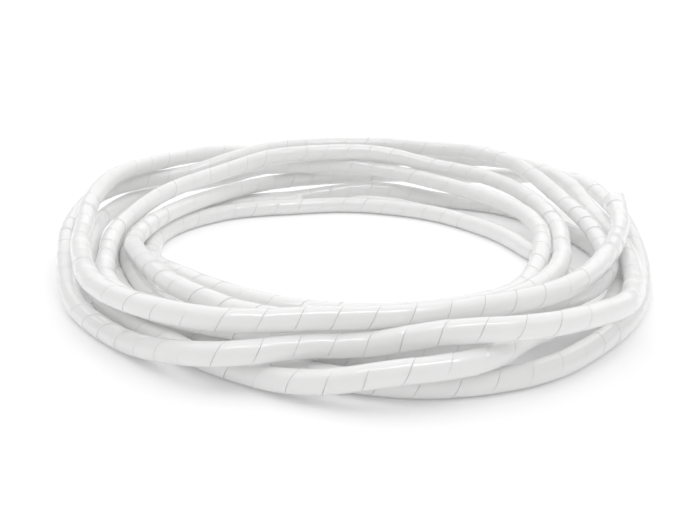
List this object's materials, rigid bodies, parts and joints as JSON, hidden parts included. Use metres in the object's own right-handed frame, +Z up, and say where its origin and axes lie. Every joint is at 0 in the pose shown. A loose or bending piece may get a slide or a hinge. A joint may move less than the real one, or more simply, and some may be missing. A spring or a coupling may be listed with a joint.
{
  "type": "spiral cable wrap",
  "caption": "Loose floor-lying coil of spiral-cut polyethylene tube that wraps round a bundle of cables.",
  "frame": {"origin": "on the floor, under the middle of the coil", "axes": "+Z up, through the eye of the coil, which lies flat; +Y away from the picture's viewer; +X to the viewer's right"},
  "size_m": [0.4902, 0.4952, 0.0618],
  "materials": {
    "polyethylene": "natural milky white extruded polyethylene, slightly see-through, satin"
  },
  "bodies": {
    "root": {"spiral_wrap": "polyethylene"}
  },
  "joints": []
}
